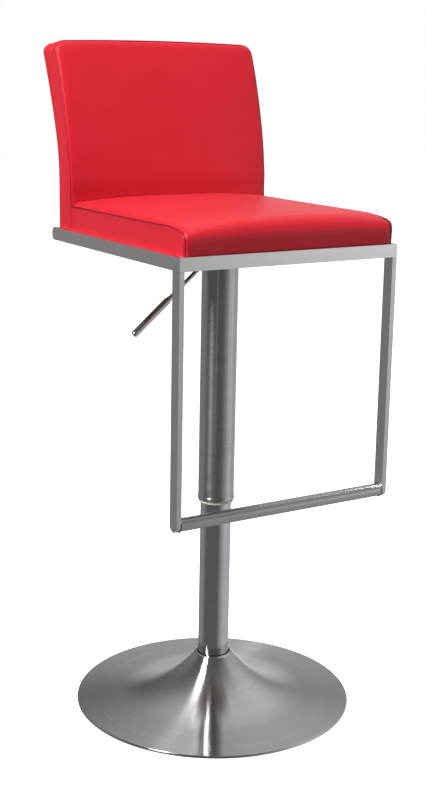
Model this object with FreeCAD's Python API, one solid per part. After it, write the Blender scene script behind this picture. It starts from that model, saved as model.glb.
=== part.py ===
"""Adjustable swivel stool with a low padded back, a flat-bar frame with a footrest and a spun trumpet base.

Millimetres, +Z up. The origin is on the floor, on the column's axis. The sitter faces -Y, and +X is to
the right of someone who looks at the stool from the front.
"""
import FreeCAD
import Part

import math
import os

# Base
BASE_R = 225.0  # radius of the trumpet base
RIM_TOP = 4.7  # height of the cover's rim
RIM_BOTTOM = 1.0  # the rim hangs this far above the floor
RIM_SLOPE = math.radians(4.5)  # the cover's outer cone
FLARE_R = 175.0  # radius of the concave flare
NECK_TOP = 79.5
NECK_R = 30.6  # outside of the neck where the flare ends
NECK_BORE = 26.8
COVER_SHEET = 1.6
PAD_R = 222.9
PAD_T = 2.0
PLATE_R = 196.0
PLATE_T = 3.0
BALLAST_R = 130.0
BALLAST_T = 6.0
HUB_R = 34.0
HUB_TOP = 62.0

# Column and gas lift
TUBE_R = 25.0  # chromed outer tube
TUBE_BORE = 23.0
TUBE_TOP = 455.0
SLEEVE_R = 29.0  # telescopic sleeve that covers the gas lift
SLEEVE_BORE = 27.8
SLEEVE_BOTTOM = 345.0
SLEEVE_TOP = 724.0
CYLINDER_R = 14.0
CYLINDER_BORE = 12.0
CYLINDER_BOTTOM = 322.0
CYLINDER_TOP = 733.0
ROD_R = 5.0
ROD_BOTTOM = 9.0
ROD_TOP = 340.0
END_PLATE_BOTTOM = 14.0
END_PLATE_T = 6.0
BEARING_R = 12.0
BEARING_BORE = 6.0
RACE_T = 2.0
BALL_R = 1.4
BALL_COUNT = 14
SLIDE_GAP = 0.3  # radial gap between parts that slide in each other
FIT_GAP = 0.1  # radial gap between parts that are fixed in each other

# Seat frame of flat bar
FRAME_HALF = 190.0  # half of the frame's width
FRAME_FRONT = -198.0
FRAME_REAR = 207.5
FRAME_TOP = 771.0
BAR_H = 20.0
BAR_T = 8.0
LAP_T = 4.0  # the front rail's tongue in front of each leg
REAR_BULGE = 4.0  # the rear rail's outer face is rounded by this much
LEG_DEPTH = 20.0
FOOT_BAR_R = 10.0
LOOP_BOTTOM = 373.3
CROSS_BAR_Y = 60.0
CROSS_BAR_W = 40.0

# Mechanism under the seat
SEAT_PLATE_X = 80.0
SEAT_PLATE_Y = 85.0
SEAT_PLATE_T = 5.0
SOCKET_R = 24.0
SOCKET_BOTTOM = 690.0
SLOT_HALF = 4.3
SLOT_BOTTOM = 727.0
SLOT_TOP = 750.0
BOLT_X = 60.0
BOLT_R = 4.0
BOLT_HOLE_R = 4.3
TEE_BARREL_R = 5.4
TEE_FLANGE_R = 10.0
TEE_FLANGE_T = 1.2

# Lift lever, in the plane Y = 0
LEVER_R = 3.25
LEVER_ANGLE = math.radians(39.7)  # below the horizontal
LEVER_ARM_Z = 742.0
LEVER_ARM_END = 7.0
LEVER_BEND_X = -14.0
LEVER_BEND_R = 8.0
PIVOT_X = -20.0
PIN_R = 2.0
PIN_FIT = 0.06
HANDLE_R = 5.5
HANDLE_LENGTH = 78.0
HANDLE_START = 103.0  # along the lever, from its bend
BUTTON_R = 3.5
BUTTON_TOP = 738.4
BUTTON_BOTTOM = 718.0

# Upholstery
SEAT_HALF = 182.5
SEAT_FRONT = -195.0
SEAT_SIDE_TOP = 810.0
SEAT_CROWN = 11.0
SEAT_NOSE_R = 24.0
BOARD_T = 12.0
BOARD_INSET = 10.5  # the cushion wraps the board's edges by this much
BACK_FRONT = 150.0
BACK_REAR = 192.5
BACK_BEND_Z = 840.0  # the rear face is upright up to here
BACK_BEND_R = 270.0
BACK_BEND_ANGLE = math.radians(16.5)
BACK_UPPER_R = 1000.0
BACK_REAR_TOP = 1057.0
BACK_FRONT_R = 750.0
BACK_FRONT_BEND_Z = 775.0
BACK_FRONT_TOP = 1065.0
BACK_ROUND = 11.0  # rounding of its rear top edge
BACK_BOARD_T = 9.0
BACK_BOARD_DEPTH = 14.5  # from the rear face to the board
BACK_BOARD_BOTTOM = 776.0
BACK_BOARD_TOP = 1025.0
BRACKET_X = 90.0
BRACKET_W = 40.0
BRACKET_T = 5.0
BRACKET_TOP = 838.0
SCREW_R = 2.5
SCREW_HEAD_R = 5.0
SCREW_HEAD_T = 3.0
SCREW_GAP = 0.15

SLOPE = FreeCAD.Vector(-math.cos(LEVER_ANGLE), 0, -math.sin(LEVER_ANGLE))
LEG_TOP = FRAME_TOP - BAR_H
LOOP_Z = LOOP_BOTTOM + FOOT_BAR_R
FOOT_BAR_Y = FRAME_FRONT + LEG_DEPTH / 2
PLATE_TOP = PAD_T + PLATE_T
SEAT_PLATE_TOP = FRAME_TOP - BAR_T
SEAT_PLATE_BOTTOM = SEAT_PLATE_TOP - SEAT_PLATE_T
BOARD_TOP = FRAME_TOP + BOARD_T


def vec(x, y, z):
    return FreeCAD.Vector(x, y, z)


def box(x0, x1, y0, y1, z0, z1):
    return Part.makeBox(x1 - x0, y1 - y0, z1 - z0, vec(x0, y0, z0))


def rod(radius, start, end):
    """A round bar from one point to another."""
    return Part.makeCylinder(radius, (end - start).Length, start, end - start)


def upright(radius, z0, z1, x=0.0, y=0.0):
    return Part.makeCylinder(radius, z1 - z0, vec(x, y, z0))


def ring(outer, bore, z0, z1):
    return upright(outer, z0, z1).cut(upright(bore, z0 - 1, z1 + 1))


def line(a, b):
    return Part.LineSegment(a, b).toShape()


def arc(a, b, c):
    return Part.Arc(a, b, c).toShape()


def turned(edges):
    """A solid of revolution about the Z axis from a closed outline in the plane Y = 0."""
    face = Part.Face(Part.Wire(edges))
    return face.revolve(vec(0, 0, 0), vec(0, 0, 1), 360)


def side_prism(edges, x0, x1):
    """An outline in a plane of constant X, drawn at X = 0, extruded from x0 to x1."""
    face = Part.Face(Part.Wire(edges))
    face.translate(vec(x0, 0, 0))
    return face.extrude(vec(x1 - x0, 0, 0))


def hex_head(x, y, z0, z1, across_flats):
    """An upright hexagonal prism."""
    reach = across_flats / math.sqrt(3)
    turns = [math.radians(60 * step) for step in range(7)]
    corners = [vec(x + reach * math.cos(a), y + reach * math.sin(a), z0) for a in turns]
    return Part.Face(Part.makePolygon(corners)).extrude(vec(0, 0, z1 - z0))


def polar(centre, radius, angle):
    """A point of a circle that stands in a plane of constant X."""
    return vec(0, centre.y + radius * math.cos(angle), centre.z + radius * math.sin(angle))


# ---------------------------------------------------------------- base


def flare_geometry():
    """The flare's centre and the point where it runs into the outer cone."""
    down = vec(-math.cos(RIM_SLOPE), 0, math.sin(RIM_SLOPE))
    normal = vec(math.sin(RIM_SLOPE), 0, math.cos(RIM_SLOPE))
    rim = vec(BASE_R, 0, RIM_TOP)
    reach = rim + normal * FLARE_R - vec(NECK_R, 0, NECK_TOP)
    along = reach.dot(down)
    travel = -along - math.sqrt(along**2 - reach.dot(reach) + FLARE_R**2)
    foot = rim + down * travel
    return foot + normal * FLARE_R, foot, normal


def flare_point(centre, radius, r):
    """The point of the flare's circle at distance r from the column's axis."""
    drop = math.sqrt(radius**2 - (centre.x - r) ** 2)
    return vec(r, 0, centre.z - drop)


def base_cover():
    centre, foot, normal = flare_geometry()
    edge = 1.2  # rounding of the rim
    lip = flare_point(centre, FLARE_R, NECK_R + 1.2)
    shoulder = vec(NECK_R - 0.5, 0, NECK_TOP - 0.45)
    crest = vec(NECK_R - 2.0, 0, NECK_TOP)
    mouth = vec(NECK_BORE, 0, NECK_TOP)
    collar_z = NECK_TOP - 6.0
    inner_r = FLARE_R + COVER_SHEET
    inside = math.sqrt(inner_r**2 - (centre.z - collar_z) ** 2)
    throat = vec(centre.x - inside, 0, collar_z)
    inner_foot = foot - normal * COVER_SHEET
    skirt_r = BASE_R - COVER_SHEET
    skirt_z = inner_foot.z - (skirt_r - inner_foot.x) * math.tan(RIM_SLOPE)
    cone_end = vec(BASE_R - edge, 0, RIM_TOP + edge * math.tan(RIM_SLOPE))
    rim_side = vec(BASE_R, 0, RIM_TOP - edge)
    rim_mid = vec(BASE_R - 0.3 * edge, 0, RIM_TOP - 0.25 * edge)
    return turned([
        line(vec(BASE_R, 0, RIM_BOTTOM), rim_side),
        arc(rim_side, rim_mid, cone_end),
        line(cone_end, foot),
        arc(foot, flare_point(centre, FLARE_R, 80.0), lip),
        arc(lip, shoulder, crest),
        line(crest, mouth),
        line(mouth, vec(NECK_BORE, 0, collar_z)),
        line(vec(NECK_BORE, 0, collar_z), throat),
        arc(throat, flare_point(centre, inner_r, 80.0), inner_foot),
        line(inner_foot, vec(skirt_r, 0, skirt_z)),
        line(vec(skirt_r, 0, skirt_z), vec(skirt_r, 0, RIM_BOTTOM)),
        line(vec(skirt_r, 0, RIM_BOTTOM), vec(BASE_R, 0, RIM_BOTTOM)),
    ])


def column_socket():
    """The steel hub welded to the base plate, chamfered at its top."""
    chamfer = 3.0
    bore = TUBE_R + FIT_GAP
    points = [(bore, PLATE_TOP), (HUB_R, PLATE_TOP), (HUB_R, HUB_TOP - chamfer)]
    points += [(HUB_R - chamfer, HUB_TOP), (bore, HUB_TOP), (bore, PLATE_TOP)]
    corners = [vec(r, 0, z) for r, z in points]
    return turned([line(a, b) for a, b in zip(corners, corners[1:])])


def guide_bush():
    length = 80.0
    flange = 3.0
    bush = upright(TUBE_BORE - FIT_GAP, TUBE_TOP - length, TUBE_TOP)
    bush = bush.fuse(upright(TUBE_R - 0.4, TUBE_TOP, TUBE_TOP + flange))
    bore = upright(CYLINDER_R + SLIDE_GAP, TUBE_TOP - length - 1, TUBE_TOP + flange + 1)
    return bush.cut(bore).removeSplitter()


def base_parts():
    ballast_top = PLATE_TOP + BALLAST_T
    return {
        "floor_pad": upright(PAD_R, 0, PAD_T),
        "base_plate": upright(PLATE_R, PAD_T, PLATE_TOP),
        "ballast_disc": ring(BALLAST_R, HUB_R + 0.5, PLATE_TOP, ballast_top),
        "base_cover": base_cover(),
        "column_socket": column_socket(),
        "column_tube": ring(TUBE_R, TUBE_BORE, PLATE_TOP, TUBE_TOP),
        "guide_bush": guide_bush(),
    }


# ---------------------------------------------------------------- gas lift


def bearing_balls(z):
    """A ring of separate balls."""
    pitch_r = (BEARING_R + BEARING_BORE) / 2
    turns = [2 * math.pi * step / BALL_COUNT for step in range(BALL_COUNT)]
    places = [vec(pitch_r * math.cos(a), pitch_r * math.sin(a), z) for a in turns]
    return Part.makeCompound([Part.makeSphere(BALL_R, place) for place in places])


def piston_rod(collar_z):
    """The rod with the collar that stands on the thrust bearing."""
    collar_t = 3.0
    collar = upright(8.0, collar_z, collar_z + collar_t)
    return upright(ROD_R, ROD_BOTTOM, ROD_TOP).fuse(collar).removeSplitter()


def piston_head():
    """The piston on the rod's end, with a groove for its seal."""
    head_t = 14.0
    groove_t = 4.0
    head_r = CYLINDER_BORE - SLIDE_GAP
    middle = ROD_TOP + head_t / 2
    groove = ring(head_r + 1, head_r - 1.5, middle - groove_t / 2, middle + groove_t / 2)
    return upright(head_r, ROD_TOP, ROD_TOP + head_t).cut(groove)


def gas_cylinder():
    """The pressure tube, closed by its gland below and its valve block above."""
    gland_t = 8.0
    valve_t = 18.0
    bottom_inside = CYLINDER_BOTTOM + gland_t
    top_inside = CYLINDER_TOP - valve_t
    body = upright(CYLINDER_R, CYLINDER_BOTTOM, CYLINDER_TOP)
    body = body.cut(upright(CYLINDER_BORE, bottom_inside, top_inside))
    body = body.cut(upright(ROD_R + SLIDE_GAP, CYLINDER_BOTTOM - 1, bottom_inside + 1))
    return body.cut(upright(BUTTON_R + SLIDE_GAP, top_inside - 1, CYLINDER_TOP + 1))


def sleeve():
    """The telescopic sleeve, with a small outward bead round its lower end."""
    bead = 0.9
    bead_h = 7.0
    z0 = SLEEVE_BOTTOM
    a = vec(SLEEVE_BORE, 0, z0)
    b = vec(SLEEVE_R + bead * 0.4, 0, z0)
    c = vec(SLEEVE_R + bead, 0, z0 + bead_h * 0.35)
    d = vec(SLEEVE_R, 0, z0 + bead_h)
    e = vec(SLEEVE_R, 0, SLEEVE_TOP)
    f = vec(SLEEVE_BORE, 0, SLEEVE_TOP)
    return turned([line(a, b), arc(b, c, d), line(d, e), line(e, f), line(f, a)])


def sleeve_bush():
    """The plastic bush that guides the sleeve on the tube and shows below it."""
    lip_h = 4.0
    length = 24.0
    lip = upright(SLEEVE_BORE + 0.5, SLEEVE_BOTTOM - lip_h, SLEEVE_BOTTOM)
    body = upright(SLEEVE_BORE - FIT_GAP, SLEEVE_BOTTOM - lip_h, SLEEVE_BOTTOM + length)
    bore_r = TUBE_R + SLIDE_GAP + 0.05
    bore = upright(bore_r, SLEEVE_BOTTOM - lip_h - 1, SLEEVE_BOTTOM + length + 1)
    return lip.fuse(body).cut(bore).removeSplitter()


def gas_lift_parts():
    end_top = END_PLATE_BOTTOM + END_PLATE_T
    balls_z = end_top + RACE_T + 1.5
    upper_race = balls_z + 1.5
    collar_z = upper_race + RACE_T
    bumper_z = collar_z + 3.0
    fixed = ROD_R + FIT_GAP
    return {
        "end_plate": ring(TUBE_BORE - FIT_GAP, ROD_R + SLIDE_GAP, END_PLATE_BOTTOM, end_top),
        "bearing_lower_race": ring(BEARING_R, BEARING_BORE, end_top, end_top + RACE_T),
        "bearing_balls": bearing_balls(balls_z),
        "bearing_upper_race": ring(BEARING_R, fixed, upper_race, collar_z),
        "rubber_bumper": ring(11.0, fixed, bumper_z, bumper_z + 18.0),
        "rod_washer": ring(9.0, fixed, END_PLATE_BOTTOM - 1.8, END_PLATE_BOTTOM - 0.3),
        "rod_clip": ring(7.5, fixed, END_PLATE_BOTTOM - 3.5, END_PLATE_BOTTOM - 2.0),
        "piston_rod": piston_rod(collar_z),
        "piston_head": piston_head(),
        "gas_cylinder": gas_cylinder(),
        "release_button": upright(BUTTON_R, BUTTON_BOTTOM, BUTTON_TOP),
        "telescopic_sleeve": sleeve(),
        "sleeve_bush": sleeve_bush(),
        "sleeve_ring": ring(SLEEVE_BORE - FIT_GAP, SOCKET_R + FIT_GAP, SLEEVE_TOP - 16, SLEEVE_TOP),
    }


# ---------------------------------------------------------------- mechanism and lever


def bolt_places():
    return [(x, y) for x in (-BOLT_X, BOLT_X) for y in (-CROSS_BAR_Y, CROSS_BAR_Y)]


def drill(shape, radius, z0, z1):
    """The four bolt holes."""
    for x, y in bolt_places():
        shape = shape.cut(upright(radius, z0, z1, x, y))
    return shape


def pivot_point():
    """The lever pin's centre, on the axis of the lever's sloping run."""
    drop = (LEVER_BEND_X - PIVOT_X) * math.tan(LEVER_ANGLE)
    return vec(PIVOT_X, 0, LEVER_ARM_Z - drop)


def pin_shape(radius, half_length):
    centre = pivot_point()
    reach = vec(0, half_length, 0)
    return rod(radius, centre - reach, centre + reach)


def seat_socket():
    """The socket that holds the gas cylinder's top, slotted on one side for the lever."""
    bore = CYLINDER_R + FIT_GAP
    shape = ring(SOCKET_R, bore, SOCKET_BOTTOM, SEAT_PLATE_BOTTOM)
    shape = shape.cut(box(-SOCKET_R - 1, 0, -SLOT_HALF, SLOT_HALF, SLOT_BOTTOM, SLOT_TOP))
    return shape.cut(pin_shape(PIN_R + PIN_FIT, SOCKET_R))


def seat_plate():
    """The pressed plate between the socket and the cross bars."""
    corner = 12.0
    x, y = SEAT_PLATE_X, SEAT_PLATE_Y
    plate = box(-x, x, -y, y, SEAT_PLATE_BOTTOM, SEAT_PLATE_TOP)
    posts = [e for e in plate.Edges if abs(e.BoundBox.ZLength - SEAT_PLATE_T) < 0.01]
    plate = plate.makeFillet(corner, posts)
    return drill(plate, BOLT_HOLE_R, SEAT_PLATE_BOTTOM - 1, SEAT_PLATE_TOP + 1)


def cross_bar(side):
    half = CROSS_BAR_W / 2
    y = side * CROSS_BAR_Y
    x = FRAME_HALF - BAR_T
    bar = box(-x, x, y - half, y + half, SEAT_PLATE_TOP, FRAME_TOP)
    return drill(bar, BOLT_HOLE_R, SEAT_PLATE_TOP - 1, FRAME_TOP + 1)


def plate_bolts():
    """Four hexagon bolts from below, up to the tee nuts in the seat board."""
    head_t = 5.3
    bolts = []
    for x, y in bolt_places():
        head = hex_head(x, y, SEAT_PLATE_BOTTOM - head_t, SEAT_PLATE_BOTTOM, 13.0)
        shank = upright(BOLT_R, SEAT_PLATE_BOTTOM - head_t, BOARD_TOP - 1, x, y)
        bolts.append(head.fuse(shank).removeSplitter())
    return Part.makeCompound(bolts)


def tee_nuts():
    nuts = []
    for x, y in bolt_places():
        nut = upright(TEE_BARREL_R, FRAME_TOP + 1, BOARD_TOP, x, y)
        nut = nut.fuse(upright(TEE_FLANGE_R, BOARD_TOP - TEE_FLANGE_T, BOARD_TOP, x, y))
        bore = upright(BOLT_R + FIT_GAP, FRAME_TOP, BOARD_TOP + 1, x, y)
        nuts.append(nut.cut(bore).removeSplitter())
    return Part.makeCompound(nuts)


def lever_rod():
    """A bent rod: a level arm over the release button, then the run down to the handle."""
    bend = vec(LEVER_BEND_X, 0, LEVER_ARM_Z)
    start = vec(LEVER_ARM_END, 0, LEVER_ARM_Z)
    back = LEVER_BEND_R * math.tan(LEVER_ANGLE / 2)
    into = bend + vec(back, 0, 0)
    out = bend + SLOPE * back
    centre = into - vec(0, 0, LEVER_BEND_R)
    half = LEVER_ANGLE / 2
    middle = centre + vec(-math.sin(half), 0, math.cos(half)) * LEVER_BEND_R
    end = bend + SLOPE * (HANDLE_START + 22.0)
    path = Part.Wire([line(start, into), arc(into, middle, out), line(out, end)])
    section = Part.Wire([Part.makeCircle(LEVER_R, start, vec(1, 0, 0))])
    shape = path.makePipeShell([section], True, False)
    return shape.cut(pin_shape(PIN_R + PIN_FIT, LEVER_R + 1))


def lever_handle():
    """The round grip: a ferrule, a grooved collar and a rounded end."""
    bend = vec(LEVER_BEND_X, 0, LEVER_ARM_Z)
    start = bend + SLOPE * HANDLE_START
    tip = start + SLOPE * HANDLE_LENGTH
    grip = rod(HANDLE_R, start, tip)
    far_edge = [e for e in grip.Edges if (e.CenterOfMass - tip).Length < 0.5]
    grip = grip.makeFillet(2.2, far_edge)
    near_edge = [e for e in grip.Edges if (e.CenterOfMass - start).Length < 0.5]
    grip = grip.makeChamfer(0.8, near_edge)
    ferrule = rod(HANDLE_R - 1.2, start - SLOPE * 4.0, start + SLOPE)
    bore = rod(LEVER_R + FIT_GAP / 2, start - SLOPE * 5.0, start + SLOPE * 22.5)
    return grip.fuse(ferrule).cut(bore).removeSplitter()


def mechanism_parts():
    return {
        "seat_socket": seat_socket(),
        "seat_plate": seat_plate(),
        "front_cross_bar": cross_bar(-1),
        "rear_cross_bar": cross_bar(1),
        "plate_bolts": plate_bolts(),
        "tee_nuts": tee_nuts(),
        "lever_pin": pin_shape(PIN_R, 13.0),
        "lever_rod": lever_rod(),
        "lever_handle": lever_handle(),
    }


# ---------------------------------------------------------------- frame


def leg(x0):
    """A leg of flat bar: lapped and mitred at its top, half round at its foot."""
    front = FRAME_FRONT
    rear = front + LEG_DEPTH
    lap = front + LAP_T
    corners = [vec(0, front, LOOP_Z), vec(0, front, LEG_TOP), vec(0, lap, LEG_TOP)]
    corners += [vec(0, lap, FRAME_TOP), vec(0, rear, LEG_TOP), vec(0, rear, LOOP_Z)]
    edges = [line(a, b) for a, b in zip(corners, corners[1:])]
    edges.append(arc(corners[-1], vec(0, FOOT_BAR_Y, LOOP_BOTTOM), corners[0]))
    return side_prism(edges, x0, x0 + BAR_T)


def rear_round(y):
    """The rounded outline of the rear rail's outer face, from top to bottom."""
    top = vec(0, y, FRAME_TOP)
    bottom = vec(0, y, LEG_TOP)
    return arc(top, vec(0, y + REAR_BULGE, (FRAME_TOP + LEG_TOP) / 2), bottom)


def side_rail(x0):
    lap = FRAME_FRONT + LAP_T
    rear = FRAME_REAR - REAR_BULGE
    mitre = vec(0, FRAME_FRONT + LEG_DEPTH, LEG_TOP)
    start = vec(0, lap, FRAME_TOP)
    edges = [line(start, vec(0, rear, FRAME_TOP)), rear_round(rear)]
    edges += [line(vec(0, rear, LEG_TOP), mitre), line(mitre, start)]
    return side_prism(edges, x0, x0 + BAR_T)


def front_rail():
    """The front rail, with a thin tongue at each end that covers the leg's front."""
    inner = FRAME_HALF - BAR_T
    lap = FRAME_FRONT + LAP_T
    tongue = box(-FRAME_HALF, FRAME_HALF, FRAME_FRONT, lap, LEG_TOP, FRAME_TOP)
    body = box(-inner, inner, lap, FRAME_FRONT + BAR_T, LEG_TOP, FRAME_TOP)
    return tongue.fuse(body).removeSplitter()


def rear_rail():
    inner = FRAME_HALF - BAR_T
    rear = FRAME_REAR - REAR_BULGE
    front = rear - BAR_T
    edges = [rear_round(rear), line(vec(0, rear, LEG_TOP), vec(0, front, LEG_TOP))]
    edges.append(line(vec(0, front, LEG_TOP), vec(0, front, FRAME_TOP)))
    edges.append(line(vec(0, front, FRAME_TOP), vec(0, rear, FRAME_TOP)))
    return side_prism(edges, -inner, inner)


def frame_parts():
    inner = FRAME_HALF - BAR_T
    ends = [vec(x, FOOT_BAR_Y, LOOP_Z) for x in (-inner, inner)]
    return {
        "left_leg": leg(-FRAME_HALF),
        "right_leg": leg(inner),
        "left_side_rail": side_rail(-FRAME_HALF),
        "right_side_rail": side_rail(inner),
        "front_rail": front_rail(),
        "rear_rail": rear_rail(),
        "foot_bar": rod(FOOT_BAR_R, ends[0], ends[1]),
    }


# ---------------------------------------------------------------- upholstery


def rear_curve(depth, z_bottom, z_top):
    """Edges of the back's rear profile, set in by depth: upright, a bend, then a wide curve."""
    bend = vec(0, BACK_REAR + BACK_BEND_R, BACK_BEND_Z)
    bend_r = BACK_BEND_R + depth
    knee = polar(bend, bend_r, math.pi - BACK_BEND_ANGLE)
    knee_mid = polar(bend, bend_r, math.pi - BACK_BEND_ANGLE / 2)
    reach = BACK_UPPER_R - BACK_BEND_R
    upper = polar(bend, -reach, math.pi - BACK_BEND_ANGLE)
    upper_r = BACK_UPPER_R + depth
    last = math.asin((z_top - upper.z) / upper_r)
    end = polar(upper, upper_r, math.pi - last)
    middle = polar(upper, upper_r, math.pi - (BACK_BEND_ANGLE + last) / 2)
    start = vec(0, BACK_REAR - depth, z_bottom)
    upright_end = vec(0, BACK_REAR - depth, BACK_BEND_Z)
    edges = [line(start, upright_end), arc(upright_end, knee_mid, knee), arc(knee, middle, end)]
    return edges, start, end


def front_curve_point(z):
    """A point of the back's front face, which is one wide arc."""
    lift = (z - BACK_FRONT_BEND_Z) / BACK_FRONT_R
    return vec(0, BACK_FRONT + BACK_FRONT_R * (1 - math.sqrt(1 - lift**2)), z)


def back_outline():
    edges, start, rear_top = rear_curve(0.0, FRAME_TOP, BACK_REAR_TOP)
    front_top = front_curve_point(BACK_FRONT_TOP)
    front_bend = front_curve_point(BACK_FRONT_BEND_Z)
    middle = front_curve_point((BACK_FRONT_TOP + BACK_FRONT_BEND_Z) / 2)
    bottom = vec(0, BACK_FRONT, FRAME_TOP)
    edges += [line(rear_top, front_top), arc(front_top, middle, front_bend)]
    edges += [line(front_bend, bottom), line(bottom, start)]
    return edges


def back_board(gap=0.0):
    """The curved board in the backrest, or, with a gap, the pocket that it sits in."""
    half = SEAT_HALF - BOARD_INSET + gap
    z0 = BACK_BOARD_BOTTOM - gap
    z1 = BACK_BOARD_TOP + gap
    rear, rear_low, rear_high = rear_curve(BACK_BOARD_DEPTH - gap, z0, z1)
    front, front_low, front_high = rear_curve(BACK_BOARD_DEPTH + BACK_BOARD_T + gap, z0, z1)
    edges = rear + [line(rear_high, front_high)] + front[::-1] + [line(front_low, rear_low)]
    return side_prism(edges, -half, half)


def backrest_cushion():
    pad = side_prism(back_outline(), -SEAT_HALF, SEAT_HALF)
    _, _, corner = rear_curve(0.0, FRAME_TOP, BACK_REAR_TOP)
    rear_top = [e for e in pad.Edges if all(abs(v.Y - corner.y) < 0.01 for v in e.Vertexes)]
    pad = pad.makeFillet(BACK_ROUND, rear_top)
    pad = pad.cut(back_board(0.2))
    half = BRACKET_W / 2 + 1.0
    for x in (-BRACKET_X, BRACKET_X):
        y0 = BACK_REAR - BACK_BOARD_DEPTH - 1.0
        pocket = box(x - half, x + half, y0, y0 + 11.0, FRAME_TOP - 1, BRACKET_TOP + 2)
        pad = pad.cut(pocket)
    return pad


def seat_cushion():
    """The seat's pad: a rounded nose, a slightly crowned top and a pocket for the board."""
    nose = SEAT_NOSE_R
    diagonal = nose * (1 - math.cos(math.pi / 4))
    top = SEAT_SIDE_TOP + SEAT_CROWN
    corner = vec(0, SEAT_FRONT, FRAME_TOP)
    side = vec(0, SEAT_FRONT, top - nose)
    nose_mid = vec(0, SEAT_FRONT + diagonal, top - diagonal)
    nose_top = vec(0, SEAT_FRONT + nose, top)
    rear_top = vec(0, BACK_FRONT, top)
    rear = vec(0, BACK_FRONT, FRAME_TOP)
    edges = [line(corner, side), arc(side, nose_mid, nose_top), line(nose_top, rear_top)]
    edges += [line(rear_top, rear), line(rear, corner)]
    pad = side_prism(edges, -SEAT_HALF, SEAT_HALF)
    low = [vec(x, SEAT_FRONT, FRAME_TOP) for x in (-SEAT_HALF, SEAT_HALF)]
    high = [vec(x, SEAT_FRONT, SEAT_SIDE_TOP) for x in (-SEAT_HALF, SEAT_HALF)]
    crown = [line(low[0], high[0]), arc(high[0], vec(0, SEAT_FRONT, top), high[1])]
    crown += [line(high[1], low[1]), line(low[1], low[0])]
    envelope = Part.Face(Part.Wire(crown)).extrude(vec(0, BACK_FRONT - SEAT_FRONT, 0))
    return pad.common(envelope).cut(board_block())


def board_block():
    """The seat board without its holes."""
    half = SEAT_HALF - BOARD_INSET
    front = SEAT_FRONT + BOARD_INSET
    rear = BACK_FRONT - 6.0
    return box(-half, half, front, rear, FRAME_TOP, BOARD_TOP)


def seat_board():
    board = drill(board_block(), TEE_BARREL_R + FIT_GAP, FRAME_TOP - 1, BOARD_TOP + 1)
    board = drill(board, TEE_FLANGE_R + 0.2, BOARD_TOP - TEE_FLANGE_T, BOARD_TOP + 1)
    for x, y in seat_screw_places():
        board = board.cut(upright(SCREW_R + SCREW_GAP, FRAME_TOP - 1, FRAME_TOP + 10, x, y))
    return board


def seat_screw_places():
    return [(x, y) for x in (-BRACKET_X, BRACKET_X) for y in (100.0, 125.0)]


def back_screw_places():
    return [(x, z) for x in (-BRACKET_X, BRACKET_X) for z in (796.0, 824.0)]


def bracket_faces():
    """Y of the face that the back board stands on, and of the bracket's rear face."""
    board_rear = BACK_REAR - BACK_BOARD_DEPTH
    return board_rear, board_rear + BRACKET_T


def back_brackets():
    """Two bent flat bars, welded to the rear cross bar, that carry the back board."""
    half = BRACKET_W / 2
    face, rear = bracket_faces()
    start = CROSS_BAR_Y + CROSS_BAR_W / 2
    brackets = []
    for x in (-BRACKET_X, BRACKET_X):
        floor = box(x - half, x + half, start, rear, FRAME_TOP - BRACKET_T, FRAME_TOP)
        wall = box(x - half, x + half, face, rear, FRAME_TOP - 1, BRACKET_TOP)
        brackets.append(floor.fuse(wall).removeSplitter())
    shape = Part.makeCompound(brackets)
    hole = SCREW_R + SCREW_GAP
    for x, y in seat_screw_places():
        shape = shape.cut(upright(hole, FRAME_TOP - BRACKET_T - 1, FRAME_TOP + 1, x, y))
    for x, z in back_screw_places():
        shape = shape.cut(rod(hole, vec(x, face - 1, z), vec(x, rear + 1, z)))
    return shape


def bracket_screws():
    """Pan-head screws: up into the seat board, and forwards into the back board."""
    under = FRAME_TOP - BRACKET_T
    face, rear = bracket_faces()
    screws = []
    for x, y in seat_screw_places():
        head = upright(SCREW_HEAD_R, under - SCREW_HEAD_T, under, x, y)
        screws.append(head.fuse(upright(SCREW_R, under - 1, FRAME_TOP + 9, x, y)))
    for x, z in back_screw_places():
        head = rod(SCREW_HEAD_R, vec(x, rear, z), vec(x, rear + SCREW_HEAD_T, z))
        shank = rod(SCREW_R, vec(x, face - 8, z), vec(x, rear + 1, z))
        screws.append(head.fuse(shank))
    return Part.makeCompound([screw.removeSplitter() for screw in screws])


def drilled_back_board():
    board = back_board()
    face = bracket_faces()[0]
    for x, z in back_screw_places():
        board = board.cut(rod(SCREW_R + SCREW_GAP, vec(x, face - 8.5, z), vec(x, face + 1, z)))
    return board


def upholstery_parts():
    return {
        "seat_board": seat_board(),
        "back_board": drilled_back_board(),
        "back_brackets": back_brackets(),
        "bracket_screws": bracket_screws(),
        "seat_cushion": seat_cushion(),
        "backrest_cushion": backrest_cushion(),
    }


def main():
    os.makedirs("parts", exist_ok=True)
    groups = [base_parts(), gas_lift_parts(), mechanism_parts(), frame_parts(), upholstery_parts()]
    for group in groups:
        for name, shape in group.items():
            assert shape.isValid(), name
            shape.exportStep("parts/" + name + ".step")
            print(name, len(shape.Solids), round(shape.Volume / 1000, 1), "cm3")


main()
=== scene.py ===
"""Looks for the adjustable swivel stool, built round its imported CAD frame.

Metres, +Z up, in the CAD frame: the origin is on the floor, on the column's axis. The sitter faces -Y.
"""

import math

import bpy
import numpy as np
from mathutils import Matrix, Vector, noise


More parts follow.
